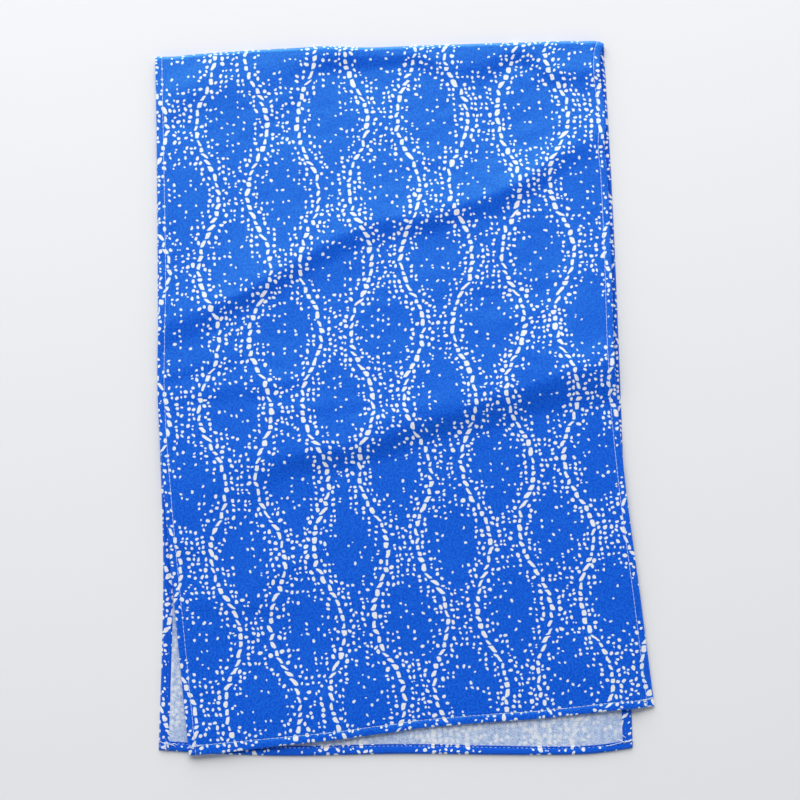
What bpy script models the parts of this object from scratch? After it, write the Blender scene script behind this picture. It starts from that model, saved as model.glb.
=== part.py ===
"""A face towel of printed cotton, hemmed on all four sides, folded once across and laid flat.

The printed face is outside and the reverse inside. The lower layer lies flat on the surface, the
cloth turns over at the fold, which is the +Y end, and the upper layer comes back over it, a
little askew, with two long creases and a puffed fold. Metres, +Z up, with the origin in the
middle of the underside.
"""

import math
from collections import namedtuple

import bmesh
import bpy
from mathutils import Vector

for thing in list(bpy.data.objects):
    bpy.data.objects.remove(thing, do_unlink=True)

# Everything below is in millimetres, and the finished mesh is scaled to metres
MM = 0.001

# The towelling, and its turned hems, which are three cloths pressed and sewn together
WIDTH = 340.0
CLOTH = 1.1
HEM = 1.7
SIDE_HEM = 6.75
HEM_STEP = 1.2

# An end's hem is its full width at its left, and narrower by its taper from start on, which are
# shares across the towel
EndHem = namedtuple("EndHem", "width taper start end")
UPPER_HEM = EndHem(7.5, 1.0, 0.08, 0.24)
LOWER_HEM = EndHem(6.7, 1.2, 0.50, 0.93)

# How the layers rest on each other
FIELD_TOP = 2.9
HEM_TOP = 3.9
END_TOP = 3.0
END_SLOPE = 75.0
HEM_SHELF = 20.0
HEM_SLOPE = 34.0
DROOP = 2.0
DROOP_SPAN = 18.0
END_DROOP = 0.3
END_CLEAR = 2.6
CORNER_RISE = 0.2
CORNER_SPAN = 50.0
OVER_HEM_START = 0.30
OVER_HEM_END = 0.50
HEM_ON_FIELD = 0.6
INSIDE_SHARE = 0.15
PAST_SIDE_HEM = 8.0
INSIDE_RAMP = 10.0
PAST_END_HEM = 12.0
END_RAMP = 28.0

# The lines across the cloth, each given by its ends on the surface. reach is how much cloth lies
# between the fold and the line.
Line = namedtuple("Line", "reach left_x left_y right_x right_y")
FOLD_LINE = Line(0, -178.0, 261.0, 161.0, 263.3)
UPPER_LINES = (
    FOLD_LINE,
    Line(10, -177.9, 250.9, 158.0, 253.7),
    Line(32, -177.6, 228.7, 157.5, 232.6),
    Line(52, -177.4, 208.6, 159.6, 213.4),
    Line(68, -177.2, 192.5, 159.6, 198.0),
    Line(84, -177.0, 176.3, 158.4, 182.7),
    Line(108, -176.8, 152.1, 159.6, 159.7),
    Line(172, -176.3, 87.7, 160.0, 98.0),
    Line(258, -177.8, 1.0, 159.5, 15.3),
    Line(344, -172.5, -85.7, 163.6, -67.5),
    Line(430, -165.0, -172.3, 171.2, -150.3),
    Line(516, -157.0, -259.0, 178.6, -233.0),
)
LOWER_LINES = (
    FOLD_LINE,
    Line(131, -177.5, 131.0, 163.0, 132.0),
    Line(262, -177.5, 2.0, 163.3, 1.0),
    Line(393, -174.9, -128.0, 162.8, -130.0),
    Line(526, -179.0, -256.0, 162.0, -262.0),
)

# How far the fold and the two hemmed ends stand out, towards the fold, from their straight lines
Bend = namedtuple("Bend", "across fold upper_hem lower_hem")
BENDS = (
    Bend(0.00, -0.6, -1.6, 0.0),
    Bend(0.04, -1.1, -1.75, -1.2),
    Bend(0.08, 0.0, -1.85, -2.2),
    Bend(0.12, 0.75, -1.7, -3.1),
    Bend(0.18, 1.6, -1.25, -3.9),
    Bend(0.25, 2.4, -1.1, -4.6),
    Bend(0.33, 3.0, -1.0, -4.7),
    Bend(0.38, 3.5, -0.3, -4.4),
    Bend(0.44, 2.1, 0.25, -4.0),
    Bend(0.49, 1.5, 1.1, -3.8),
    Bend(0.54, 1.7, 1.0, -3.85),
    Bend(0.60, 1.95, 0.65, -4.1),
    Bend(0.67, 1.9, 0.1, -4.6),
    Bend(0.74, 2.05, -0.75, -5.0),
    Bend(0.81, 1.95, -0.8, -5.2),
    Bend(0.87, 2.0, -0.6, -5.1),
    Bend(0.91, 2.0, -0.4, -4.6),
    Bend(0.95, 1.5, -0.7, -3.2),
    Bend(0.985, 1.2, -0.4, -1.4),
    Bend(1.00, -0.8, -0.3, -0.5),
)
BEND_REACH = 86.0

# The fold, in sections from the left edge, at 0, to the right edge, at 1. height is the outer
# height of its turn, and the top of the turn falls to the upper layer between top and foot.
Turn = namedtuple("Turn", "across height top foot")
FOLD = (
    Turn(0.00, 4.3, 14, 56),
    Turn(0.10, 4.3, 12, 56),
    Turn(0.25, 4.1, 8, 52),
    Turn(0.33, 4.3, 6, 30),
    Turn(0.41, 5.0, 6, 21),
    Turn(0.50, 4.1, 7, 19),
    Turn(0.59, 4.4, 7, 19),
    Turn(0.66, 4.0, 12, 36),
    Turn(0.74, 4.4, 12, 32),
    Turn(0.82, 4.7, 6, 19),
    Turn(0.90, 4.6, 20, 44),
    Turn(1.00, 4.6, 20, 44),
)
TURN_DEPTH = 0.62

# The creases, in sections across the upper layer. The cloth swells up from back_foot to its
# crest and comes down by front_foot, all measured as reach from the fold.
Ridge = namedtuple("Ridge", "across back_foot crest front_foot rise")
LONG_CREASE = (
    Ridge(0.00, 150, 206, 226, 0.8),
    Ridge(0.10, 126, 194, 215, 1.6),
    Ridge(0.17, 112, 186, 202, 2.3),
    Ridge(0.25, 96, 173, 191, 2.4),
    Ridge(0.33, 80, 158, 175, 1.7),
    Ridge(0.41, 70, 144, 162, 1.9),
    Ridge(0.50, 64, 134, 153, 1.7),
    Ridge(0.58, 64, 134, 150, 2.2),
    Ridge(0.66, 60, 127, 143, 2.0),
    Ridge(0.74, 56, 118, 138, 2.3),
    Ridge(0.82, 52, 107, 126, 2.3),
    Ridge(0.90, 44, 87, 107, 1.3),
    Ridge(1.00, 28, 73, 92, 0.6),
)
STEEP_CREASE = (
    Ridge(0.00, 232, 335, 400, 0.9),
    Ridge(0.10, 222, 322, 388, 1.2),
    Ridge(0.17, 210, 310, 366, 1.2),
    Ridge(0.25, 198, 308, 330, 1.8),
    Ridge(0.33, 188, 306, 325, 3.0),
    Ridge(0.41, 176, 304, 322, 3.3),
    Ridge(0.50, 168, 296, 316, 3.4),
    Ridge(0.58, 162, 289, 307, 3.5),
    Ridge(0.66, 156, 282, 304, 3.8),
    Ridge(0.74, 150, 273, 302, 4.0),
    Ridge(0.82, 142, 268, 293, 4.0),
    Ridge(0.90, 130, 260, 294, 4.2),
    Ridge(0.96, 122, 261, 291, 3.9),
    Ridge(1.00, 116, 259, 289, 3.3),
)
LONG_SWELL = 2.0
STEEP_SWELL = 1.5

# Rows of faces in each stretch of the cloth
COLUMNS = 42
TURN_ROWS = 10
LOWER_ROWS = 10
PLAIN_ROWS = {"behind": 9, "between": 2, "before": 9}
LONG_ROWS = (5, 3)
STEEP_ROWS = (6, 4)

PRINT_BLUE = (0.012, 0.118, 0.687, 1.0)


def soft_step(start, end, at):
    """0 before start, 1 after end, and an even rise between."""
    share = min(max((at - start) / (end - start), 0.0), 1.0)
    return share * share * (3.0 - 2.0 * share)


def section(table, at):
    """The row of a table at a place between its rows, on a smooth curve through them."""
    rows = [tuple(row) for row in table]
    low = 0
    while low < len(rows) - 2 and rows[low + 1][0] < at:
        low += 1
    before, start = rows[max(low - 1, 0)], rows[low]
    end, after = rows[low + 1], rows[min(low + 2, len(rows) - 1)]
    span = end[0] - start[0]
    share = (at - start[0]) / span
    mixed = []
    for b, s, e, a in zip(before, start, end, after):
        slope_start = (e - b) / (end[0] - before[0]) * span
        slope_end = (a - s) / (after[0] - start[0]) * span
        square, cube = share * share, share * share * share
        mixed.append(
            s * (2 * cube - 3 * square + 1)
            + slope_start * (cube - 2 * square + share)
            + e * (3 * square - 2 * cube)
            + slope_end * (cube - square)
        )
    return type(table[0])(*mixed)


def on_surface(lines, across, reach):
    """The point under a place on the cloth, on the surface it lies on."""
    line, bend = section(lines, reach), section(BENDS, across)
    x = line.left_x + (line.right_x - line.left_x) * across
    y = line.left_y + (line.right_y - line.left_y) * across
    at_hem = soft_step(lines[-2].reach, lines[-1].reach, reach)
    hem = bend.upper_hem if lines is UPPER_LINES else bend.lower_hem
    return x, y + bend.fold * (1 - soft_step(0.0, BEND_REACH, reach)) + hem * at_hem


def from_side(across):
    """Distance from the nearer long edge of the towel."""
    return min(across, 1 - across) * WIDTH


def hem_width(hem, across):
    """Width of the hem at an end of the cloth, which was turned a little unevenly."""
    return hem.width - hem.taper * soft_step(hem.start, hem.end, across)


def resting_height(across, reach, x, y):
    """Height of the upper layer's printed face where it has no crease."""
    beside = 1 - soft_step(HEM_SHELF, HEM_SHELF + HEM_SLOPE, from_side(across))
    height = FIELD_TOP + (HEM_TOP - FIELD_TOP) * beside
    end = UPPER_LINES[-1].reach
    at_end = soft_step(end - END_SLOPE, end - UPPER_HEM.width, reach)
    over_hem = 1 - soft_step(OVER_HEM_START, OVER_HEM_END, across)
    end_height = END_TOP + (HEM_TOP - END_TOP) * over_hem
    height += max(end_height - height, 0.0) * at_end
    lower = section(LOWER_LINES, max(FOLD_LINE.right_y - y, 0.0))
    lower_end = on_surface(LOWER_LINES, across, LOWER_LINES[-1].reach)[1]
    on_field = 1 - soft_step(0.0, INSIDE_SHARE, across)
    on_field *= soft_step(PAST_SIDE_HEM, PAST_SIDE_HEM + INSIDE_RAMP, x - lower.left_x)
    on_field *= soft_step(PAST_END_HEM, PAST_END_HEM + END_RAMP, y - lower_end)
    height -= HEM_ON_FIELD * on_field
    height -= DROOP * soft_step(0.0, DROOP_SPAN, x - lower.right_x)
    corner = math.hypot((1 - across) * WIDTH, end - reach)
    height += CORNER_RISE * (1 - soft_step(0.0, CORNER_SPAN, corner))
    return height - END_DROOP * max(lower_end - END_CLEAR - y, 0.0)


def lift(crease, swell, across, reach):
    """How far a crease raises the cloth: a long swell up to its crest, and then a short fall."""
    ridge = section(crease, across)
    climb = min(max((reach - ridge.back_foot) / (ridge.crest - ridge.back_foot), 0.0), 1.0)
    fall = soft_step(ridge.crest, ridge.front_foot, reach)
    return max(ridge.rise, 0.0) * (climb**swell - fall)


def upper_point(across, reach):
    """A place on the printed face of the upper layer."""
    x, y = on_surface(UPPER_LINES, across, reach)
    turn = section(FOLD, across)
    rest = resting_height(across, reach, x, y)
    puff = (turn.height - rest) * (1 - soft_step(turn.top, turn.foot, reach))
    creases = lift(LONG_CREASE, LONG_SWELL, across, reach)
    creases += lift(STEEP_CREASE, STEEP_SWELL, across, reach)
    return Vector((x, y, rest + puff + creases))


def lower_point(across, reach):
    """A place on the printed face of the lower layer, which is underneath and flat."""
    x, y = on_surface(LOWER_LINES, across, reach)
    return Vector((x, y, 0.0))


def turn_point(across, angle):
    """A place on the outside of the fold, from its top at 90 degrees to its foot at -90."""
    turn = section(FOLD, across)
    depth = TURN_DEPTH * turn.height
    back = depth * (1 - math.cos(angle))
    upper_x, upper_y = on_surface(UPPER_LINES, across, back)
    lower_x, lower_y = on_surface(LOWER_LINES, across, back)
    up = 0.5 + 0.5 * math.sin(angle)
    x = lower_x + (upper_x - lower_x) * up
    y = lower_y + (upper_y - lower_y) * up
    return Vector((x, y, turn.height * up))


def stops(marks, cells):
    """Splits each stretch between two marks into its number of cells."""
    places = [marks[0]]
    for start, end, count in zip(marks, marks[1:], cells):
        places += [start + (end - start) * (k + 1) / count for k in range(count)]
    return places


def column_places():
    """Shares across the towel of its columns of points."""
    marks = (0, SIDE_HEM, SIDE_HEM + HEM_STEP, WIDTH - SIDE_HEM - HEM_STEP, WIDTH - SIDE_HEM, WIDTH)
    return [place / WIDTH for place in stops(marks, (1, 1, COLUMNS, 1, 1))]


def column_points(across):
    """One column of points, from the upper layer's hem over the fold to the lower layer's hem,
    each with its distance from the inner edge of the nearer end's hem."""
    depth = TURN_DEPTH * section(FOLD, across).height
    long_crease = section(LONG_CREASE, across)
    steep_crease = section(STEEP_CREASE, across)
    end, hem = UPPER_LINES[-1].reach, hem_width(UPPER_HEM, across)
    marks = (depth, *long_crease[1:4], *steep_crease[1:4], end - hem - HEM_STEP, end - hem, end)
    cells = (PLAIN_ROWS["behind"], *LONG_ROWS, PLAIN_ROWS["between"], *STEEP_ROWS)
    cells += (PLAIN_ROWS["before"], 1, 1)
    points = []
    for reach in reversed(stops(marks, cells)):
        points.append((upper_point(across, reach), end - reach - hem))
    for row in range(1, TURN_ROWS):
        angle = math.pi * (0.5 - row / TURN_ROWS)
        points.append((turn_point(across, angle), end))
    end, hem = LOWER_LINES[-1].reach, hem_width(LOWER_HEM, across)
    marks = (depth, end - hem - HEM_STEP, end - hem, end)
    for reach in stops(marks, (LOWER_ROWS, 1, 1)):
        points.append((lower_point(across, reach), end - reach - hem))
    return points


def printed_cotton():
    """Cotton printed blue, seen as one even colour."""
    material = bpy.data.materials.new("printed cotton")
    material.use_nodes = True
    surface = material.node_tree.nodes["Principled BSDF"]
    surface.inputs["Base Color"].default_value = PRINT_BLUE
    surface.inputs["Roughness"].default_value = 0.9
    surface.inputs["Metallic"].default_value = 0.0
    material.diffuse_color = PRINT_BLUE
    return material


def towel():
    """The whole towel, as one cloth thickened inwards from its printed face."""
    columns = column_places()
    points = [column_points(across) for across in columns]
    across_cells, along_cells = len(points) - 1, len(points[0]) - 1
    cloth = bmesh.new()
    bmesh.ops.create_grid(cloth, x_segments=across_cells, y_segments=along_cells, size=1.0)
    thick = cloth.verts.layers.deform.verify()
    for vertex in cloth.verts:
        column = round((vertex.co.x + 1) / 2 * across_cells)
        row = round((vertex.co.y + 1) / 2 * along_cells)
        place, from_hem = points[column][row]
        hemmed = min(from_side(columns[column]) - SIDE_HEM, from_hem) < HEM_STEP / 2
        vertex.co = place
        vertex[thick][0] = 1.0 if hemmed else CLOTH / HEM
    bounds = [[pick(vertex.co[k] for vertex in cloth.verts) for pick in (min, max)] for k in (0, 1)]
    middle = Vector((sum(bounds[0]) / 2, sum(bounds[1]) / 2, 0.0))
    bmesh.ops.translate(cloth, vec=-middle, verts=cloth.verts)
    bmesh.ops.scale(cloth, vec=(MM, MM, MM), verts=cloth.verts)
    for face in cloth.faces:
        face.smooth = True

    mesh = bpy.data.meshes.new("towel")
    cloth.to_mesh(mesh)
    cloth.free()
    piece = bpy.data.objects.new("towel", mesh)
    bpy.context.scene.collection.objects.link(piece)
    piece.vertex_groups.new(name="thickness")
    mesh.materials.append(printed_cotton())

    body = piece.modifiers.new("cloth and hems", "SOLIDIFY")
    body.thickness = HEM * MM
    body.offset = -1.0
    body.vertex_group = "thickness"
    body.use_even_offset = False
    body.use_rim = True
    return piece


towel()
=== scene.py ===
"""A face towel of printed cotton, folded once across and laid flat, seen from above.

The script follows the towel as it is made: the cloth with its folds and hems, the print on its
face and the nap on its reverse, then the sewing, and last the floor, the light and the camera.
"""

import math
import random
from collections import namedtuple

import bmesh
import bpy
from mathutils import Matrix, Vector, noise


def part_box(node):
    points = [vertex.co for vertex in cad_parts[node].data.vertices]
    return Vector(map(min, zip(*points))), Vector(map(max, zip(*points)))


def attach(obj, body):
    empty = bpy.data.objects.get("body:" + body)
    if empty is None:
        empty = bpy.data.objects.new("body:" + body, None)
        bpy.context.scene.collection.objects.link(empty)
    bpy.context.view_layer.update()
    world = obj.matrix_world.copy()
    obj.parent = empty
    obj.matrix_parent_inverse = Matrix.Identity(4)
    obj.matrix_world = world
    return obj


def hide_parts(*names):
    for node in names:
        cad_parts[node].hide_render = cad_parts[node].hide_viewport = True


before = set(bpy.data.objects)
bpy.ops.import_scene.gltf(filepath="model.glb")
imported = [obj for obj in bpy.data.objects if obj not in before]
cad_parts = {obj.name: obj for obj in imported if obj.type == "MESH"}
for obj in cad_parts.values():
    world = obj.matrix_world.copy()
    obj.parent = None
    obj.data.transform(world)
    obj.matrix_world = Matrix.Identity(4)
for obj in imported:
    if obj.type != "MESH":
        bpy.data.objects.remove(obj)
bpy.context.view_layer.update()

# The cloth
# One length of cotton towelling with a narrow hem turned and sewn along all four sides. It is
# folded once, face outwards: the lower layer lies flat, and the upper one a little askew on it.
# All of its sizes are in millimetres.
MM = 0.001
WIDTH = 340.0
CLOTH = 1.1
HEM = 1.7
SIDE_HEM = 6.75

# A hem's edge is rounded, its seam sinks into it, and it falls steeply to the cloth beside it. The
# seams run a little in from the hems' inner edges.
HEM_ROUND = 1.1
EDGE_DROP = 0.4
SIDE_STITCH_IN = 1.7
END_STITCH_IN = 0.9
GROOVE = 0.2
GROOVE_SIDE = 0.7
HEM_FALL = 0.35

# The hem at an end is widest at the towel's left, and loses its taper between start and end, which
# are shares across the towel
EndHem = namedtuple("EndHem", "width taper start end")
UPPER_HEM = EndHem(7.5, 1.0, 0.08, 0.24)
LOWER_HEM = EndHem(6.7, 1.2, 0.50, 0.93)

# How the upper layer rests on the lower one: its face is highest over the side hems, and lower
# over the plain cloth between them. It droops where it passes the lower layer's edges.
FIELD_TOP = 2.9
HEM_TOP = 3.9
END_TOP = 3.0
END_SLOPE = 75.0
HEM_SHELF = 20.0
HEM_SLOPE = 34.0
DROOP = 2.0
DROOP_SPAN = 18.0
END_DROOP = 0.3
END_CLEAR = 2.6
CORNER_RISE = 0.2
CORNER_SPAN = 50.0
OVER_HEM_START = 0.30
OVER_HEM_END = 0.50
HEM_ON_FIELD = 0.6
INSIDE_SHARE = 0.15
PAST_SIDE_HEM = 8.0
INSIDE_RAMP = 10.0
PAST_END_HEM = 12.0
END_RAMP = 28.0

# The lines across the cloth, each given by its ends on the surface. reach is how much cloth lies
# between the fold and the line.
Line = namedtuple("Line", "reach left_x left_y right_x right_y")
FOLD_LINE = Line(0, -178.0, 261.0, 161.0, 263.3)
UPPER_LINES = (
    FOLD_LINE,
    Line(10, -177.9, 250.9, 158.0, 253.7),
    Line(32, -177.6, 228.7, 157.5, 232.6),
    Line(52, -177.4, 208.6, 159.6, 213.4),
    Line(68, -177.2, 192.5, 159.6, 198.0),
    Line(84, -177.0, 176.3, 158.4, 182.7),
    Line(108, -176.8, 152.1, 159.6, 159.7),
    Line(172, -176.3, 87.7, 160.0, 98.0),
    Line(258, -177.8, 1.0, 159.5, 15.3),
    Line(344, -172.5, -85.7, 163.6, -67.5),
    Line(430, -165.0, -172.3, 171.2, -150.3),
    Line(516, -157.0, -259.0, 178.6, -233.0),
)
LOWER_LINES = (
    FOLD_LINE,
    Line(131, -177.5, 131.0, 163.0, 132.0),
    Line(262, -177.5, 2.0, 163.3, 1.0),
    Line(393, -174.9, -128.0, 162.8, -130.0),
    Line(526, -179.0, -256.0, 162.0, -262.0),
)

# How far the fold and the two hemmed ends bend towards the fold's side from their straight lines.
# The fold's bend fades out over BEND_REACH.
Bend = namedtuple("Bend", "across fold upper_hem lower_hem")
BENDS = (
    Bend(0.00, -0.6, -1.6, 0.0),
    Bend(0.04, -1.1, -1.75, -1.2),
    Bend(0.08, 0.0, -1.85, -2.2),
    Bend(0.12, 0.75, -1.7, -3.1),
    Bend(0.18, 1.6, -1.25, -3.9),
    Bend(0.25, 2.4, -1.1, -4.6),
    Bend(0.33, 3.0, -1.0, -4.7),
    Bend(0.38, 3.5, -0.3, -4.4),
    Bend(0.44, 2.1, 0.25, -4.0),
    Bend(0.49, 1.5, 1.1, -3.8),
    Bend(0.54, 1.7, 1.0, -3.85),
    Bend(0.60, 1.95, 0.65, -4.1),
    Bend(0.67, 1.9, 0.1, -4.6),
    Bend(0.74, 2.05, -0.75, -5.0),
    Bend(0.81, 1.95, -0.8, -5.2),
    Bend(0.87, 2.0, -0.6, -5.1),
    Bend(0.91, 2.0, -0.4, -4.6),
    Bend(0.95, 1.5, -0.7, -3.2),
    Bend(0.985, 1.2, -0.4, -1.4),
    Bend(1.00, -0.8, -0.3, -0.5),
)
BEND_REACH = 86.0

# The fold, in sections from the left edge, at 0, to the right edge, at 1. height is the outer
# height of its turn, and the top of the turn falls to the upper layer between top and foot.
Turn = namedtuple("Turn", "across height top foot")
FOLD = (
    Turn(0.00, 4.3, 14, 56),
    Turn(0.10, 4.3, 12, 56),
    Turn(0.25, 4.1, 8, 52),
    Turn(0.33, 4.3, 6, 30),
    Turn(0.41, 5.0, 6, 21),
    Turn(0.50, 4.1, 7, 19),
    Turn(0.59, 4.4, 7, 19),
    Turn(0.66, 4.0, 12, 36),
    Turn(0.74, 4.4, 12, 32),
    Turn(0.82, 4.7, 6, 19),
    Turn(0.90, 4.6, 20, 44),
    Turn(1.00, 4.6, 20, 44),
)

# How deep the turn is for its height, how much cloth it takes, and over how much cloth behind it
# the finer forms begin
TURN_DEPTH = 0.62
TURN_CLOTH = 14.0
FINE_START = 12.0

# The creases, in sections across the upper layer. The cloth swells up from back_foot to its
# crest and comes down by front_foot, all measured as reach from the fold.
Ridge = namedtuple("Ridge", "across back_foot crest front_foot rise")
LONG_CREASE = (
    Ridge(0.00, 150, 206, 226, 0.8),
    Ridge(0.10, 126, 194, 215, 1.6),
    Ridge(0.17, 112, 186, 202, 2.3),
    Ridge(0.25, 96, 173, 191, 2.4),
    Ridge(0.33, 80, 158, 175, 1.7),
    Ridge(0.41, 70, 144, 162, 1.9),
    Ridge(0.50, 64, 134, 153, 1.7),
    Ridge(0.58, 64, 134, 150, 2.2),
    Ridge(0.66, 60, 127, 143, 2.0),
    Ridge(0.74, 56, 118, 138, 2.3),
    Ridge(0.82, 52, 107, 126, 2.3),
    Ridge(0.90, 44, 87, 107, 1.3),
    Ridge(1.00, 28, 73, 92, 0.6),
)
STEEP_CREASE = (
    Ridge(0.00, 232, 335, 400, 0.9),
    Ridge(0.10, 222, 322, 388, 1.2),
    Ridge(0.17, 210, 310, 366, 1.2),
    Ridge(0.25, 198, 308, 330, 1.8),
    Ridge(0.33, 188, 306, 325, 3.0),
    Ridge(0.41, 176, 304, 322, 3.3),
    Ridge(0.50, 168, 296, 316, 3.4),
    Ridge(0.58, 162, 289, 307, 3.5),
    Ridge(0.66, 156, 282, 304, 3.8),
    Ridge(0.74, 150, 273, 302, 4.0),
    Ridge(0.82, 142, 268, 293, 4.0),
    Ridge(0.90, 130, 260, 294, 4.2),
    Ridge(0.96, 122, 261, 291, 3.9),
    Ridge(1.00, 116, 259, 289, 3.3),
)

# The powers that shape the two swells: the higher, the later a swell climbs
LONG_SWELL = 2.0
STEEP_SWELL = 1.5

# Low soft folds, each straight between two places on the upper layer. Its sides reach back towards
# the fold and front towards the hem, and it fades in and out around its two ends.
Fold = namedtuple("Fold", "across reach to_across to_reach back front rise")
SOFT_FOLDS = (
    Fold(0.20, 58, 0.35, 26, 14, 10, 0.4),
    Fold(0.80, 26, 1.00, 26, 9, 12, 0.3),
    Fold(0.88, 20, 1.00, 24, 18, 12, 0.35),
    Fold(0.00, 38, 0.12, 26, 26, 20, 0.6),
    Fold(0.00, 261, 0.34, 252, 18, 8, 0.45),
    Fold(0.20, 277, 0.46, 272, 10, 7, 0.3),
    Fold(0.00, 244, 0.20, 231, 18, 8, 0.4),
    Fold(0.00, 410, 0.28, 417, 18, 9, 0.4),
    Fold(0.16, 402, 0.36, 378, 16, 8, 0.4),
    Fold(0.00, 366, 0.08, 371, 12, 9, 0.5),
    Fold(0.62, 192, 0.96, 184, 18, 9, 0.25),
    Fold(0.56, 176, 0.76, 172, 24, 34, 0.4),
    Fold(0.42, 294, 0.66, 275, 16, 10, 0.35),
    Fold(0.89, 259, 1.01, 253, 22, 14, 0.8),
    Fold(0.50, 92, 0.66, 90, 16, 8, 0.25),
    Fold(0.78, 76, 0.92, 62, 12, 8, 0.25),
    Fold(0.72, 218, 0.88, 213, 16, 9, 0.25),
    Fold(0.00, 468, 0.10, 472, 10, 7, 0.25),
    Fold(0.00, 484, 0.07, 486, 8, 5, 0.2),
    Fold(0.00, 500, 0.05, 502, 8, 6, 0.3),
    Fold(0.20, 486, 0.34, 486, 14, 9, 0.25),
)
FADE_BEYOND = 0.2
FADE_WITHIN = 0.35

# The cloth's broad waves, short ripples and thin crinkles: how high and how long they are, and
# the planes of the noise that they follow
WAVE = 0.5
WAVE_LENGTH = 52.0
WAVE_PLANE = 3.7
RIPPLE = 0.2
RIPPLE_LENGTH = 13.0
RIPPLE_PLANE = 11.2
RIPPLE_FIELD = 0.35
RIPPLE_HEM = 0.8
RIPPLE_REACH = 26.0
CRINKLE = 0.22
CRINKLE_LENGTH = 30.0
CRINKLE_PLANE = 7.1
CRINKLE_SQUASH = 1.3
CRINKLE_WIDTH = 0.13
CRINKLE_NOISE = (0.6, 2.2, 3)
WAVES_FROM_HEM = 40.0


def soft_step(start, end, at):
    """0 before start, 1 after end, and an even rise between."""
    share = min(max((at - start) / (end - start), 0.0), 1.0)
    return share * share * (3.0 - 2.0 * share)


def section(table, at):
    """The row of a table at a place between its rows, on a smooth curve through them."""
    low = 0
    while low < len(table) - 2 and table[low + 1][0] < at:
        low += 1
    before, start = table[max(low - 1, 0)], table[low]
    end, after = table[low + 1], table[min(low + 2, len(table) - 1)]
    span = end[0] - start[0]
    share = (at - start[0]) / span
    square, cube = share * share, share * share * share
    mixed = []
    for b, s, e, a in zip(before, start, end, after):
        slope_start = (e - b) / (end[0] - before[0]) * span
        slope_end = (a - s) / (after[0] - start[0]) * span
        mixed.append(
            s * (2 * cube - 3 * square + 1)
            + slope_start * (cube - 2 * square + share)
            + e * (3 * square - 2 * cube)
            + slope_end * (cube - square)
        )
    return type(start)(*mixed)


def on_surface(lines, across, reach):
    """The point under a place on the cloth, on the surface it lies on."""
    line, bend = section(lines, reach), section(BENDS, across)
    x = line.left_x + (line.right_x - line.left_x) * across
    y = line.left_y + (line.right_y - line.left_y) * across
    at_hem = soft_step(lines[-2].reach, lines[-1].reach, reach)
    hem = bend.upper_hem if lines is UPPER_LINES else bend.lower_hem
    return x, y + bend.fold * (1 - soft_step(0.0, BEND_REACH, reach)) + hem * at_hem


def from_side(across):
    """Distance from the nearer long edge of the towel."""
    return min(across, 1 - across) * WIDTH


def hem_width(hem, across):
    """Width of the hem at an end of the cloth, which was turned a little unevenly."""
    return hem.width - hem.taper * soft_step(hem.start, hem.end, across)


def resting_height(across, reach, x, y):
    """Height of the upper layer's face where it has no crease."""
    beside = 1 - soft_step(HEM_SHELF, HEM_SHELF + HEM_SLOPE, from_side(across))
    height = FIELD_TOP + (HEM_TOP - FIELD_TOP) * beside
    end = UPPER_LINES[-1].reach
    at_end = soft_step(end - END_SLOPE, end - UPPER_HEM.width, reach)
    over_hem = 1 - soft_step(OVER_HEM_START, OVER_HEM_END, across)
    end_height = END_TOP + (HEM_TOP - END_TOP) * over_hem
    height += max(end_height - height, 0.0) * at_end
    lower = section(LOWER_LINES, max(FOLD_LINE.right_y - y, 0.0))
    lower_end = on_surface(LOWER_LINES, across, LOWER_LINES[-1].reach)[1]
    on_field = 1 - soft_step(0.0, INSIDE_SHARE, across)
    on_field *= soft_step(PAST_SIDE_HEM, PAST_SIDE_HEM + INSIDE_RAMP, x - lower.left_x)
    on_field *= soft_step(PAST_END_HEM, PAST_END_HEM + END_RAMP, y - lower_end)
    height -= HEM_ON_FIELD * on_field
    height -= DROOP * soft_step(0.0, DROOP_SPAN, x - lower.right_x)
    corner = math.hypot((1 - across) * WIDTH, end - reach)
    height += CORNER_RISE * (1 - soft_step(0.0, CORNER_SPAN, corner))
    return height - END_DROOP * max(lower_end - END_CLEAR - y, 0.0)


def lift(crease, swell, across, reach):
    """How far a crease raises the cloth: a long swell up to its crest, and then a short fall."""
    ridge = section(crease, across)
    climb = min(max((reach - ridge.back_foot) / (ridge.crest - ridge.back_foot), 0.0), 1.0)
    fall = soft_step(ridge.crest, ridge.front_foot, reach)
    return max(ridge.rise, 0.0) * (climb**swell - fall)


def soft_lift(across, reach):
    """How far the low folds raise the cloth, each fading at both of its ends."""
    total = 0.0
    for fold in SOFT_FOLDS:
        share = (across - fold.across) / (fold.to_across - fold.across)
        if not -FADE_BEYOND < share < 1 + FADE_BEYOND:
            continue
        crest = fold.reach + (fold.to_reach - fold.reach) * share
        off = reach - crest
        width = fold.front if off > 0 else fold.back
        if abs(off) < width:
            fade = soft_step(-FADE_BEYOND, FADE_WITHIN, share)
            fade *= 1 - soft_step(1 - FADE_WITHIN, 1 + FADE_BEYOND, share)
            total += fold.rise * fade * (0.5 + 0.5 * math.cos(math.pi * off / width))
    return total


def unevenness(x, y, near_hem):
    """The cloth's own waves and crinkles, and the short ripples that the sewing draws up beside
    a hem."""
    broad = noise.noise(Vector((x, y, WAVE_PLANE)) / WAVE_LENGTH)
    fine = noise.noise(Vector((x, y, RIPPLE_PLANE)) / RIPPLE_LENGTH)
    spot = Vector((x, CRINKLE_SQUASH * y, CRINKLE_PLANE)) / CRINKLE_LENGTH
    crinkle = CRINKLE * (1 - soft_step(0.0, CRINKLE_WIDTH, abs(noise.fractal(spot, *CRINKLE_NOISE))))
    ripple = RIPPLE * (RIPPLE_FIELD + RIPPLE_HEM * (1 - soft_step(0.0, RIPPLE_REACH, near_hem)))
    inner = soft_step(0.0, WAVES_FROM_HEM, near_hem)
    return (WAVE * broad - crinkle) * inner + ripple * fine


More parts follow.
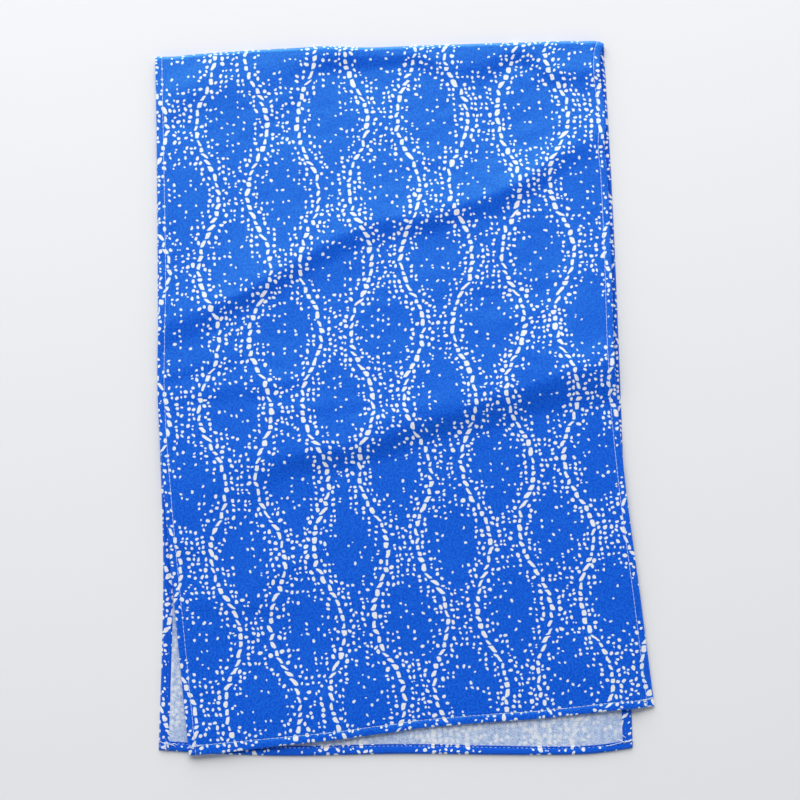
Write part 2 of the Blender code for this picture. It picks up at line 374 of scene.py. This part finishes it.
def upper_point(across, reach):
    """A place on the face of the upper layer."""
    x, y = on_surface(UPPER_LINES, across, reach)
    turn = section(FOLD, across)
    rest = resting_height(across, reach, x, y)
    past_turn = soft_step(turn.top, turn.foot, reach)
    puff = (turn.height - rest) * (1 - past_turn)
    creases = lift(LONG_CREASE, LONG_SWELL, across, reach)
    creases += lift(STEEP_CREASE, STEEP_SWELL, across, reach)
    near_hem = min(from_side(across), UPPER_LINES[-1].reach - reach)
    fine = soft_lift(across, reach) + unevenness(x, y, near_hem)
    depth = TURN_DEPTH * turn.height
    started = soft_step(depth, depth + FINE_START, reach)
    return Vector((x, y, rest + puff + creases + started * fine))


def lower_point(across, reach):
    """A place on the face of the lower layer, which is underneath and flat."""
    x, y = on_surface(LOWER_LINES, across, reach)
    return Vector((x, y, 0.0))


def turn_point(across, angle):
    """A place on the outside of the fold, from its top at 90 degrees to its foot at -90."""
    turn = section(FOLD, across)
    back = TURN_DEPTH * turn.height * (1 - math.cos(angle))
    upper_x, upper_y = on_surface(UPPER_LINES, across, back)
    lower_x, lower_y = on_surface(LOWER_LINES, across, back)
    up = 0.5 + 0.5 * math.sin(angle)
    x = lower_x + (upper_x - lower_x) * up
    y = lower_y + (upper_y - lower_y) * up
    return Vector((x, y, turn.height * up))


UPPER_CLOTH = UPPER_LINES[-1].reach
LENGTH = UPPER_CLOTH + TURN_CLOTH + LOWER_LINES[-1].reach
FOLD_SAMPLES = 60
FOLD_TOP_Y = max(turn_point(k / FOLD_SAMPLES, 0.0).y for k in range(FOLD_SAMPLES + 1))
SET_DOWN = Vector((0.0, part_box("towel")[1].y / MM - FOLD_TOP_Y, 0.0))


def cloth_point(across, along):
    """A place on the towel's face, from its upper hem at 0 along the cloth to its lower hem, and
    the direction out of the towel there."""
    depth = TURN_DEPTH * section(FOLD, across).height
    turn_start = UPPER_CLOTH - depth
    turn_end = UPPER_CLOTH + TURN_CLOTH + depth
    angle = math.pi * (0.5 - min(max((along - turn_start) / (turn_end - turn_start), 0.0), 1.0))
    if along <= turn_start:
        point = upper_point(across, UPPER_CLOTH - along)
    elif along >= turn_end:
        point = lower_point(across, along - UPPER_CLOTH - TURN_CLOTH)
    else:
        point = turn_point(across, angle)
    return point + SET_DOWN, Vector((0.0, math.cos(angle), math.sin(angle)))


def hem_profile(inset, hem, stitch_in):
    """How far the face drops, and how thick the cloth is, at a distance from a hemmed edge."""
    inner = soft_step(hem - HEM_FALL, hem + HEM_FALL, inset)
    edge = max(1 - inset / HEM_ROUND, 0.0)
    drop = EDGE_DROP * (1 - math.sqrt(1 - edge * edge))
    drop += GROOVE * (1 - soft_step(0.0, GROOVE_SIDE, abs(inset - (hem - stitch_in))))
    return drop, HEM + (CLOTH - HEM) * inner - 2 * drop


def cloth_form(across, along):
    """How far the face drops, and how thick the cloth is, with the hems of its sides and ends."""
    side_drop, side_thick = hem_profile(from_side(across), SIDE_HEM, SIDE_STITCH_IN)
    if along < LENGTH / 2:
        end_drop, end_thick = hem_profile(along, hem_width(UPPER_HEM, across), END_STITCH_IN)
    else:
        end_drop, end_thick = hem_profile(LENGTH - along, hem_width(LOWER_HEM, across), END_STITCH_IN)
    drop = max(side_drop, end_drop)
    thick = max(side_thick, end_thick)
    return drop, min(thick, HEM - 2 * drop) if drop else thick


EDGE_ROWS = (0.0, 0.15, 0.45, 0.9, 1.5, 3.0)
SEAM_ROWS = (-0.8, -0.4, 0.0, 0.4)
INNER_ROWS = (-HEM_FALL, 0.0, HEM_FALL, 0.55, 1.5)


def hem_rows(hem, stitch_in):
    """Places across a hem, close together at its edge, its stitches and its inner edge."""
    by_seam = [hem - stitch_in + row for row in SEAM_ROWS]
    return list(EDGE_ROWS) + by_seam + [hem + row for row in INNER_ROWS]


def evenly(start, end, pitch):
    """Places between two others, without the two, about a pitch apart."""
    count = round((end - start) / pitch)
    return [start + (end - start) * k / count for k in range(1, count)]


def beside_hem(across, along):
    """Moves a row near an end, so that it keeps its place in the tapering hem."""
    at_lower = along > LENGTH / 2
    hem = LOWER_HEM if at_lower else UPPER_HEM
    inset = LENGTH - along if at_lower else along
    share = inset / hem.width if inset < hem.width else max(2 - inset / hem.width, 0.0)
    inset += (hem_width(hem, across) - hem.width) * share
    return LENGTH - inset if at_lower else inset


# How far apart the mesh's rows lie on the upper layer, on the lower one, which is flat, and at the
# fold with a margin on both of its sides
PITCH = 2.9
LOWER_PITCH = 5.8
TURN_PITCH = 1.45
TURN_MARGIN = 9.0

side = hem_rows(SIDE_HEM, SIDE_STITCH_IN)
upper, lower = (hem_rows(hem.width, END_STITCH_IN) for hem in (UPPER_HEM, LOWER_HEM))
columns = side + evenly(side[-1], WIDTH - side[-1], PITCH) + [WIDTH - inset for inset in side[::-1]]
turn_start = UPPER_CLOTH - TURN_MARGIN
turn_end = UPPER_CLOTH + TURN_CLOTH + TURN_MARGIN
rows = upper + evenly(upper[-1], turn_start, PITCH) + [turn_start]
rows += evenly(turn_start, turn_end, TURN_PITCH) + [turn_end]
rows += evenly(turn_end, LENGTH - lower[-1], LOWER_PITCH) + [LENGTH - inset for inset in lower[::-1]]

cloth = bmesh.new()
bmesh.ops.create_grid(cloth, x_segments=len(columns) - 1, y_segments=len(rows) - 1, size=1.0)
thickness = cloth.verts.layers.deform.verify()
spots = {}
for vertex in cloth.verts:
    column = round((vertex.co.x + 1) / 2 * (len(columns) - 1))
    row = round((vertex.co.y + 1) / 2 * (len(rows) - 1))
    across = columns[column] / WIDTH
    along = beside_hem(across, rows[row])
    spots[vertex.index] = (across, along)
    drop, thick = cloth_form(across, along)
    place, outward = cloth_point(across, along)
    vertex.co = (place - outward * drop) * MM
    vertex[thickness][0] = thick / HEM
pattern = cloth.loops.layers.uv.new("cloth")
for face in cloth.faces:
    face.smooth = True
    for loop in face.loops:
        across, along = spots[loop.vert.index]
        loop[pattern].uv = (across * WIDTH / LENGTH, along / LENGTH)
cloth_mesh = bpy.data.meshes.new("towel_cloth")
cloth.to_mesh(cloth_mesh)
cloth.free()
towel = bpy.data.objects.new("towel_cloth", cloth_mesh)
bpy.context.scene.collection.objects.link(towel)
towel.vertex_groups.new(name="thickness")
body = towel.modifiers.new("cloth and hems", "SOLIDIFY")
body.thickness = HEM * MM
body.offset = -1.0
body.vertex_group = "thickness"
body.use_even_offset = False
body.material_offset = 1
body.material_offset_rim = 0


class Wire:
    """A socket of a material's nodes. Python's operators on it add the nodes for the sum."""

    def __init__(self, tree, socket):
        self.tree = tree
        self.socket = socket

    def node(self, kind, settings, inputs):
        """Adds a node of any kind, with its settings and then its inputs."""
        made = self.tree.nodes.new("ShaderNode" + kind)
        for name, value in settings.items():
            setattr(made, name, value)
        for name, value in inputs.items():
            if isinstance(value, Wire):
                self.tree.links.new(value.socket, made.inputs[name])
            else:
                made.inputs[name].default_value = value
        return made

    def out(self, made, name):
        """A wire from one of a node's outputs."""
        return Wire(self.tree, made.outputs[name])

    def math(self, operation, *values):
        """One Math node on this wire and up to two other values."""
        inputs = dict(enumerate((self, *values)))
        return self.out(self.node("Math", {"operation": operation}, inputs), 0)

    def __add__(self, other):
        return self.math("ADD", other)

    def __sub__(self, other):
        return self.math("SUBTRACT", other)

    def __rsub__(self, other):
        return self.math("MULTIPLY", -1.0).math("ADD", other)

    def __mul__(self, other):
        return self.math("MULTIPLY", other)

    def __truediv__(self, other):
        return self.math("DIVIDE", other)

    def __lt__(self, other):
        return self.math("LESS_THAN", other)

    def __gt__(self, other):
        return self.math("GREATER_THAN", other)

    def step(self, start, end, low=0.0, high=1.0):
        """Runs smoothly from low to high as this value runs from start to end."""
        settings = {"interpolation_type": "SMOOTHSTEP"}
        inputs = {"Value": self, "From Min": start, "From Max": end, "To Min": low, "To Max": high}
        return self.out(self.node("MapRange", settings, inputs), "Result")

    def mix(self, first, second):
        """A colour that runs from first to second as this value runs from 0 to 1."""
        made = self.node("Mix", {"data_type": "RGBA"}, {"Factor": self})
        for slot, colour in zip((made.inputs[6], made.inputs[7]), (first, second)):
            if isinstance(colour, Wire):
                self.tree.links.new(colour.socket, slot)
            else:
                slot.default_value = colour
        return Wire(self.tree, made.outputs[2])


def linear(red, green, blue):
    """A colour given as it looks on a screen, from 0 to 255, in the renderer's own scale."""
    parts = [part / 255 for part in (red, green, blue)]
    return [p / 12.92 if p <= 0.04045 else ((p + 0.055) / 1.055) ** 2.4 for p in parts] + [1.0]


def new_material(name, roughness, shine):
    """A material with its surface shader, and a wire to build its nodes from."""
    material = bpy.data.materials.new(name)
    material.use_nodes = True
    tree = material.node_tree
    surface = tree.nodes["Principled BSDF"]
    surface.inputs["Roughness"].default_value = roughness
    surface.inputs["Specular IOR Level"].default_value = shine
    return material, surface, Wire(tree, None)


# The print
# White pebble-like dots, screen-printed in blue on the cotton's face. Strings of long dots run in
# the old rising-steam pattern of mirrored waves, and small ones are strewn about them.
WAVE_SPACING = 38.0
WAVE_PERIOD = 108.0
WAVE_SWING = 9.5
WARP = 2.4
WARP_LENGTH = 7.0
BEAD_PITCH = 5.6
BEAD_GAP = 0.65
BEAD_HALF = 1.05
BEAD_MORE = 0.75
BEAD_ROUND = 3.2
BEAD_JITTER = 0.7
BEAD_ASIDE = 1.2
BEAD_SKEW = 0.9
BEAD_LEAST = 0.3
STRING_SHIFT = 17.31

# The small dots, at most one to a cell. A dot's radius varies, and is less where its neighbour is
# near. It is drawn out one way and in the other.
DOT_CELL = 4.1
DOT_JITTER = 0.62
DOT_RADIUS = 1.06
DOT_VARIES = 0.5
DOT_ROOM = 0.95
DOT_GAP = 0.3
DOT_LEAST = 0.55
DOT_LONGWAYS = 0.86
DOT_SIDEWAYS = 1.12
DOT_CLEAR = 3.5
FAR_OUTSIDE = 9.0

# Which share of the small dots is there, and how large they are for their radius, from one distance
# off the nearest string to another
DOT_SHARE = (6.0, 19.0, 0.97, 0.24)
DOT_SIZE = (3.0, 13.0, 1.35, 0.9)

PRINT_BLUE = (16, 96, 220)
PRINT_BLUE_DEEP = (0, 66, 208)
PRINT_RIM = (104, 166, 228)
PRINT_WHITE = (236, 233, 238)
INK_PATCH = 1.5
INK_RANGE = (0.38, 0.62)
RIM_EDGE = (-0.16, -0.05)
WHITE_EDGE = (0.03, 0.14)
INK_SHEEN = (0.26, 1.0, 0.5, 1.0)
FACE_ROUGHNESS = 0.39
FACE_SHINE = 0.95
FACE_THREAD = 0.42
FACE_GRAIN = 1.7
WEAVE_RELIEF = 0.5
FACE_BUMP = {"Strength": 0.35, "Distance": 0.0002}


def wave_lines(u, v):
    """For a place on the cloth in mm: its distance across from the nearest wavy line, that
    line's number, and the stretch of a step along the line."""
    swing = WAVE_SWING / WAVE_SPACING
    turns = v * (2 * math.pi / WAVE_PERIOD)
    side = u * (math.pi / WAVE_SPACING)
    rise, run = turns.math("SINE"), turns.math("COSINE")
    mirror, lean = side.math("COSINE"), side.math("SINE")
    place = u * (1 / WAVE_SPACING) - rise * mirror * swing
    number = place.math("ROUND")
    across_change = (rise * lean * (swing * math.pi) + 1.0) * (1 / WAVE_SPACING)
    along_change = mirror * run * (-swing * 2 * math.pi / WAVE_PERIOD)
    slope = along_change / across_change
    stretch = (slope * slope + 1.0).math("SQRT")
    return (place - number) / across_change / stretch, number, stretch


def voronoi(wire, feature, inputs, **settings):
    """A Voronoi node on one or two coordinates, with the input values given."""
    settings = {"feature": feature} | settings
    return wire.node("TexVoronoi", settings, {"Scale": 1.0} | inputs)


def pebbles(u, v):
    """How far inside a white dot a place on the cloth is, in mm. It is below 0 on the blue."""
    where = u.node("CombineXYZ", {}, {"X": u * (1 / WARP_LENGTH), "Y": v * (1 / WARP_LENGTH)})
    inputs = {"Vector": u.out(where, 0), "Scale": 1.0, "Detail": 2.0}
    wobble = u.node("TexNoise", {"noise_dimensions": "2D"}, inputs)
    shifts = u.node("SeparateColor", {}, {"Color": u.out(wobble, "Color")})
    u = u + (u.out(shifts, "Red") - 0.5) * WARP
    v = v + (u.out(shifts, "Green") - 0.5) * WARP

    distance, number, stretch = wave_lines(u, v)
    string = v * (1 / BEAD_PITCH) + number * STRING_SHIFT
    inputs = {"W": string, "Randomness": BEAD_JITTER}
    bead = voronoi(u, "F1", inputs, voronoi_dimensions="1D")
    between = voronoi(u, "DISTANCE_TO_EDGE", inputs, voronoi_dimensions="1D")
    chance = u.node("SeparateColor", {}, {"Color": u.out(bead, "Color")})
    step = stretch * BEAD_PITCH
    off_centre = (string - u.out(bead, "W")) * step
    near = u.out(bead, "Distance") * step
    length = near + u.out(between, "Distance") * step - BEAD_GAP
    half = u.out(chance, "Red") * BEAD_MORE + BEAD_HALF
    skew = (u.out(chance, "Blue") - 0.5) * BEAD_SKEW
    beside = distance - (u.out(chance, "Green") - 0.5) * BEAD_ASIDE - off_centre * skew
    share_a = (near / length.math("MAXIMUM", BEAD_LEAST)).math("POWER", BEAD_ROUND)
    share_b = (beside.math("ABSOLUTE") / half).math("POWER", BEAD_ROUND)
    string_inside = (1.0 - (share_a + share_b).math("POWER", 1 / BEAD_ROUND)) * half

    spot = u.node("CombineXYZ", {}, {"X": u * (1 / DOT_CELL), "Y": v * (1 / DOT_CELL)})
    inputs = {"Vector": u.out(spot, 0), "Randomness": DOT_JITTER}
    dot = voronoi(u, "F1", inputs, voronoi_dimensions="2D")
    room = voronoi(u, "N_SPHERE_RADIUS", inputs, voronoi_dimensions="2D")
    centre = u.node("SeparateXYZ", {}, {"Vector": u.out(dot, "Position")})
    centre_u = u.out(centre, "X") * DOT_CELL
    centre_v = u.out(centre, "Y") * DOT_CELL
    chance = u.node("SeparateColor", {}, {"Color": u.out(dot, "Color")})
    clear = wave_lines(centre_u, centre_v)[0].math("ABSOLUTE")
    wanted = clear.step(*DOT_SHARE)
    varied = u.out(chance, "Blue") * DOT_VARIES + (1 - DOT_VARIES / 2)
    size = clear.step(*DOT_SIZE) * varied * DOT_RADIUS
    size = size.math("MINIMUM", u.out(room, "Radius") * DOT_CELL * DOT_ROOM - DOT_GAP)
    shown = (u.out(chance, "Red") < wanted) * (clear > DOT_CLEAR) * (size > DOT_LEAST)
    angle = u.out(chance, "Green") * math.pi
    cosine, sine = angle.math("COSINE"), angle.math("SINE")
    off_u, off_v = u - centre_u, v - centre_v
    longways = (off_u * cosine + off_v * sine) * DOT_LONGWAYS
    sideways = (off_v * cosine - off_u * sine) * DOT_SIDEWAYS
    round_inside = size - (longways * longways + sideways * sideways).math("SQRT")
    dot_inside = (round_inside + FAR_OUTSIDE) * shown - FAR_OUTSIDE
    return string_inside.math("MAXIMUM", dot_inside)


def cloth_place(wire):
    """The towel's own coordinates in mm: across it from its left edge, and along it."""
    made = wire.node("UVMap", {"uv_map": "cloth"}, {})
    both = wire.node("SeparateXYZ", {}, {"Vector": wire.out(made, "UV")})
    return wire.out(both, "X") * LENGTH, wire.out(both, "Y") * LENGTH


def grain(wire, u, v, scale, detail):
    """Even noise over the cloth, about 0.5, with features of the given size in mm."""
    where = wire.node("CombineXYZ", {}, {"X": u * (1 / scale), "Y": v * (1 / scale)})
    inputs = {"Vector": wire.out(where, 0), "Scale": 1.0, "Detail": detail}
    made = wire.node("TexNoise", {"noise_dimensions": "2D"}, inputs)
    return wire.out(made, "Fac")


def weave(wire, u, v, thread):
    """The height of a plain weave, with threads of the given width in mm."""
    over = (u * (math.pi / thread)).math("SINE") * (v * (math.pi / thread)).math("SINE")
    return over * 0.5 + 0.5


def inked(wire, u, v, inside, blue, deep):
    """The colour of the printed face: blue ink, thinner at the rims of the bare cotton dots."""
    patchy = grain(wire, u, v, INK_PATCH, 2.0)
    ground = patchy.step(*INK_RANGE).mix(linear(*deep), linear(*blue))
    rimmed = inside.step(*RIM_EDGE).mix(ground, linear(*PRINT_RIM))
    return inside.step(*WHITE_EDGE).mix(rimmed, linear(*PRINT_WHITE))


printed, surface, wire = new_material("printed_face", FACE_ROUGHNESS, FACE_SHINE)
surface.inputs["Specular Tint"].default_value = INK_SHEEN
u, v = cloth_place(wire)
inside = pebbles(u, v)
ink = inked(wire, u, v, inside, PRINT_BLUE, PRINT_BLUE_DEEP)
printed.node_tree.links.new(ink.socket, surface.inputs["Base Color"])
relief = weave(wire, u, v, FACE_THREAD) * WEAVE_RELIEF + grain(wire, u, v, FACE_GRAIN, 3.0)
bump = wire.node("Bump", {}, {"Height": relief} | FACE_BUMP)
printed.node_tree.links.new(bump.outputs["Normal"], surface.inputs["Normal"])
cloth_mesh.materials.append(printed)

# The nap
# The reverse is brushed cotton, which the ink reaches only as a pale blue with lighter dots. The
# hems are the printed face turned over, so that they show the print up to their inner edge.
NAP_BLUE = (196, 209, 231)
NAP_DEEP = (144, 169, 213)
NAP_PALE = (226, 230, 236)
NAP_ROUGHNESS = 0.9
NAP_SHINE = 0.2
NAP_RANGE = (0.36, 0.62)
NAP_BUMP = {"Strength": 0.6, "Distance": 0.0006}
FUZZ = 0.9
FUZZ_SHARE = 0.6
TUFT = 3.2
TUFT_SHARE = 0.4
HEM_BLUE = (8, 89, 211)
HEM_BLUE_DEEP = (4, 82, 203)
HEM_STEP = 0.45

# How the ink comes through from the face: over which distances from a dot's rim, and how much the
# fuzz, the tufts and the cloth itself let through
THROUGH_RIM = (-1.5, 0.8)
THROUGH_FUZZ = 0.7
THROUGH_TUFTS = 0.5
THROUGH_CLOTH = 0.25


def hem_reach(across, hem):
    """How far from the end of the cloth its hem reaches, with the step at the hem's inner edge."""
    return across.step(hem.start, hem.end, hem.width, hem.width - hem.taper) + HEM_STEP


napped, surface, wire = new_material("napped_reverse", NAP_ROUGHNESS, NAP_SHINE)
u, v = cloth_place(wire)
left, right = u < SIDE_HEM + HEM_STEP, u > WIDTH - SIDE_HEM - HEM_STEP
across = u * (1 / WIDTH)
start = hem_reach(across, UPPER_HEM) > v
end = hem_reach(across, LOWER_HEM) > LENGTH - v
turned = left.math("MAXIMUM", right).math("MAXIMUM", start).math("MAXIMUM", end)
turned_u = u - left * u * 2.0 + right * (WIDTH - u) * 2.0
turned_v = v - start * v * 2.0 + end * (LENGTH - v) * 2.0
inside = pebbles(turned_u, turned_v)
fuzz = grain(wire, u, v, FUZZ, 3.0)
tufts = grain(wire, u, v, TUFT, 2.0)
through = inside.step(*THROUGH_RIM) * (fuzz * THROUGH_FUZZ + tufts * THROUGH_TUFTS + THROUGH_CLOTH)
shaggy = fuzz * FUZZ_SHARE + tufts * TUFT_SHARE
nap = shaggy.step(*NAP_RANGE).mix(linear(*NAP_DEEP), linear(*NAP_BLUE))
nap = through.mix(nap, linear(*NAP_PALE))
ink = inked(wire, u, v, inside, HEM_BLUE, HEM_BLUE_DEEP)
napped.node_tree.links.new(turned.mix(nap, ink).socket, surface.inputs["Base Color"])
relief = fuzz + tufts * (1 - turned)
bump = wire.node("Bump", {}, {"Height": relief} | NAP_BUMP)
napped.node_tree.links.new(bump.outputs["Normal"], surface.inputs["Normal"])
cloth_mesh.materials.append(napped)

# The sewing
# One line of lockstitch along each hem, in pale cotton thread, which lies nearly unbroken on the
# face and in separate stitches on the reverse. It is sewn back over itself at the corners.
THREAD = 0.42
THREAD_SIDES = 6
THREAD_END = 0.45
THREAD_ROUGHNESS = 0.6
THREAD_SHINE = 0.35
THREAD_WHITE = (220, 230, 244)
THREAD_SHADE = (178, 196, 234)
THREAD_RANGE = (0.35, 0.65)
THREAD_WEAR = 900.0
STITCH = 3.2
FACE_STITCH = 3.15
REVERSE_STITCH = 2.4
SHORTEST_STITCH = 0.8
FIRST_STITCH = (0.2, 0.8)
SEAM_END = 0.2
SEAM_SWAY = 0.07
SIDE_SEAM = SIDE_HEM - SIDE_STITCH_IN

# How far a stitch dips into the cloth at shares of its length, and how far its middle lies below
# the top of the cloth: on the face, and on the reverse of each hem, with how much that varies
STITCH_DIPS = ((0.0, 0.1), (0.2, 0.03), (0.5, 0.0), (0.8, 0.03), (1.0, 0.1))
FACE_SUNK = (-0.06, 0.04)
SIDE_SUNK = 0.2
UPPER_SUNK = 0.06
LOWER_SUNK = 0.12
SUNK_VARIES = 0.05

# Back stitches and loose ends, on the face at the upper layer's corners and on the reverse at the
# lower layer's. Their places are across and along the cloth from the corner.
Stray = namedtuple("Stray", "at_right at_lower strands places")
STRAYS = (
    Stray(False, True, 4, ((4.6, -5.4), (4.7, -2.6), (4.9, -0.4))),
    Stray(False, True, 2, ((0.0, -6.5), (2.2, -5.8), (4.5, -5.2), (6.6, -5.2))),
    Stray(False, True, 2, ((6.6, -5.2), (8.5, -4.8), (10.7, -4.4), (12.2, -3.4))),
    Stray(False, True, 1, ((8.5, -5.1), (11.4, -5.6), (14.0, -4.7))),
    Stray(False, False, 2, ((-0.9, 5.7), (2.1, 5.8), (5.1, 6.2), (9.6, 6.6))),
    Stray(False, False, 1, ((5.4, 8.6), (6.2, 7.2), (8.4, 6.5))),
    Stray(False, False, 2, ((0.7, 7.3), (3.5, 6.0))),
    Stray(True, True, 1, ((-19.5, -4.3), (-15.5, -4.5), (-11.0, -5.0), (-7.5, -5.3))),
    Stray(True, True, 3, ((-10.5, -7.4), (-8.7, -6.5), (-6.1, -5.1))),
    Stray(True, True, 2, ((-6.1, -5.1), (-2.9, -5.2), (0.3, -5.7))),
    Stray(True, True, 1, ((-7.8, -12.0), (-7.0, -10.0), (-4.7, -7.8))),
    Stray(True, False, 2, ((-8.6, 5.5), (-4.8, 5.6), (-0.4, 6.5))),
)
STRAND_PITCH = 0.36
STRAY_SWAY = 0.08
STRAY_STEPS = 4
Spot = namedtuple("Spot", "number across along")

thread_points = []
thread_faces = []


def on_cloth(u, v, reverse, height):
    """A place over the towel's face or reverse, in mm, and the direction out of the cloth."""
    point, outward = cloth_point(u / WIDTH, v)
    drop, thick = cloth_form(min(max(u / WIDTH, 0.0), 1.0), min(max(v, 0.0), LENGTH))
    if reverse:
        return point - outward * (drop + thick + height), -outward
    return point - outward * (drop - height), outward


def lay_thread(path, radius):
    """Adds a round thread along places that each come with their direction out of the cloth."""
    first = len(thread_points)
    for k, (point, outward) in enumerate(path):
        ahead = path[min(k + 1, len(path) - 1)][0] - path[max(k - 1, 0)][0]
        aside = ahead.cross(outward).normalized()
        up = aside.cross(ahead).normalized()
        size = radius * (THREAD_END if k in (0, len(path) - 1) else 1.0)
        for side in range(THREAD_SIDES):
            turn = 2 * math.pi * side / THREAD_SIDES
            around = aside * math.cos(turn) + up * math.sin(turn)
            thread_points.append((point + around * size) * MM)
    for ring in range(len(path) - 1):
        for side in range(THREAD_SIDES):
            beside = (side + 1) % THREAD_SIDES
            low, high = first + ring * THREAD_SIDES, first + (ring + 1) * THREAD_SIDES
            thread_faces.append((low + side, low + beside, high + beside, high + side))
    last = first + (len(path) - 1) * THREAD_SIDES
    thread_faces.append(tuple(first + side for side in reversed(range(THREAD_SIDES))))
    thread_faces.append(tuple(last + side for side in range(THREAD_SIDES)))


def stitch(seam, middle, long, length, reverse, sunk):
    """One stitch along a seam, dipping into the cloth at both ends. sunk is how far its middle
    lies below the top of the cloth."""
    sway = chance.uniform(-SEAM_SWAY, SEAM_SWAY)
    path = []
    for share, dip in STITCH_DIPS:
        reach = min(max(middle + (share - 0.5) * long, SEAM_END), length - SEAM_END)
        u, v = seam(reach)
        path.append(on_cloth(u + sway, v + sway, reverse, -sunk - dip))
    if (path[-1][0] - path[0][0]).length > SHORTEST_STITCH:
        lay_thread(path, THREAD / 2)


def sew(seam, length, reverse_sunk):
    """A line of stitches on both sides of the cloth. seam gives the place at a distance."""
    start = -chance.uniform(*FIRST_STITCH) * STITCH
    while start < length:
        stitch(seam, start + STITCH / 2, FACE_STITCH, length, False, chance.uniform(*FACE_SUNK))
        sunk = reverse_sunk + chance.uniform(-SUNK_VARIES, SUNK_VARIES)
        stitch(seam, start + STITCH, REVERSE_STITCH, length, True, sunk)
        start += STITCH


def lay_stray(stray):
    """A curved bundle of threads that lies on the cloth at a corner."""
    spots = [Spot(k, *place) for k, place in enumerate(stray.places)]
    for strand in range(stray.strands):
        aside = (strand - (stray.strands - 1) / 2) * STRAND_PITCH
        path = []
        for step in range(STRAY_STEPS * (len(spots) - 1) + 1):
            spot = section(spots, step / STRAY_STEPS)
            u = spot.across + aside + WIDTH * stray.at_right
            sway = chance.uniform(-STRAY_SWAY, STRAY_SWAY)
            v = spot.along + aside + LENGTH * stray.at_lower + sway
            path.append(on_cloth(u, v, stray.at_lower, THREAD / 2))
        lay_thread(path, THREAD / 2)


chance = random.Random(5)
sew(lambda reach: (SIDE_SEAM, reach), LENGTH, SIDE_SUNK)
sew(lambda reach: (WIDTH - SIDE_SEAM, reach), LENGTH, SIDE_SUNK)
sew(lambda reach: (reach, hem_width(UPPER_HEM, reach / WIDTH) - END_STITCH_IN), WIDTH, UPPER_SUNK)
sew(
    lambda reach: (reach, LENGTH - hem_width(LOWER_HEM, reach / WIDTH) + END_STITCH_IN),
    WIDTH,
    LOWER_SUNK,
)
for stray in STRAYS:
    lay_stray(stray)

thread_mesh = bpy.data.meshes.new("sewing")
thread_mesh.from_pydata(thread_points, [], thread_faces)
thread_mesh.shade_smooth()
sewing = bpy.data.objects.new("sewing", thread_mesh)
bpy.context.scene.collection.objects.link(sewing)

thread, surface, wire = new_material("sewing_thread", THREAD_ROUGHNESS, THREAD_SHINE)
place = wire.node("TexCoord", {}, {})
inputs = {"Vector": wire.out(place, "Object"), "Scale": THREAD_WEAR, "Detail": 2.0}
worn = wire.out(wire.node("TexNoise", {}, inputs), "Fac")
colour = worn.step(*THREAD_RANGE).mix(linear(*THREAD_SHADE), linear(*THREAD_WHITE))
thread.node_tree.links.new(colour.socket, surface.inputs["Base Color"])
thread_mesh.materials.append(thread)
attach(sewing, "root")

# The floor
# The towel lies on a plain pale floor, painted matt, that reaches well past the view.
FLOOR_SIZE = 6.0
FLOOR_GREY = (226, 227, 229)
FLOOR_ROUGHNESS = 0.9
FLOOR_SHINE = 0.2

ground = bmesh.new()
bmesh.ops.create_grid(ground, x_segments=1, y_segments=1, size=FLOOR_SIZE / 2)
floor_mesh = bpy.data.meshes.new("floor")
ground.to_mesh(floor_mesh)
ground.free()
floor = bpy.data.objects.new("floor", floor_mesh)
bpy.context.scene.collection.objects.link(floor)
floor_paint, surface, wire = new_material("floor_paint", FLOOR_ROUGHNESS, FLOOR_SHINE)
surface.inputs["Base Color"].default_value = linear(*FLOOR_GREY)
floor_mesh.materials.append(floor_paint)

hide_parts("towel")
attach(towel, "root")
LENGTH * MM

# The light
# One large window stands low beyond the fold and faces the towel. The room's walls are pale and
# send light in from all round, and the space overhead is much darker.
WINDOW_PLACE = Vector((-0.45, 3.0, 1.75))
WINDOW_SIZE = 3.6
WINDOW_WATTS = 225.0
ROOM_TINT = (0.97, 0.985, 1.0, 1.0)
WALL_GLOW = 1.16
OVERHEAD_GLOW = 0.06

lamp = bpy.data.lights.new("window", "AREA")
lamp.size = WINDOW_SIZE
lamp.energy = WINDOW_WATTS
window = bpy.data.objects.new("window", lamp)
window.location = WINDOW_PLACE
window.rotation_euler = (-WINDOW_PLACE).to_track_quat("-Z", "Y").to_euler()
bpy.context.scene.collection.objects.link(window)

room = bpy.data.worlds.new("room light")
room.use_nodes = True
room_light = room.node_tree.nodes["Background"]
room_light.inputs["Color"].default_value = ROOM_TINT
wire = Wire(room.node_tree, None)
where = wire.node("TexCoord", {}, {})
height = wire.out(wire.node("SeparateXYZ", {}, {"Vector": wire.out(where, "Generated")}), "Z")
glow = height.step(0.0, 1.0, WALL_GLOW, OVERHEAD_GLOW)
room.node_tree.links.new(glow.socket, room_light.inputs["Strength"])
bpy.context.scene.world = room
bpy.context.scene.view_settings.view_transform = "Standard"

# The camera
# It looks down at the towel through a long lens from 1.5 m away, and stands a little towards the
# hemmed end and turned slightly clockwise.
CAMERA_DISTANCE = 1.5
CAMERA_TILT = math.radians(8.3)
CAMERA_TURN = math.radians(-1.352)
CAMERA_AIM = Vector((0.5, -5.2, 0.0)) * MM
CAMERA_LENS = 91.5
CAMERA_SENSOR = 36.0

lens = bpy.data.cameras.new("camera")
lens.sensor_width = CAMERA_SENSOR
lens.lens = CAMERA_LENS
camera = bpy.data.objects.new("camera", lens)
turn = Matrix.Rotation(CAMERA_TURN, 4, "Z") @ Matrix.Rotation(CAMERA_TILT, 4, "X")
back = Matrix.Translation((0, 0, CAMERA_DISTANCE))
camera.matrix_world = Matrix.Translation(CAMERA_AIM) @ turn @ back
bpy.context.scene.collection.objects.link(camera)
bpy.context.scene.camera = camera
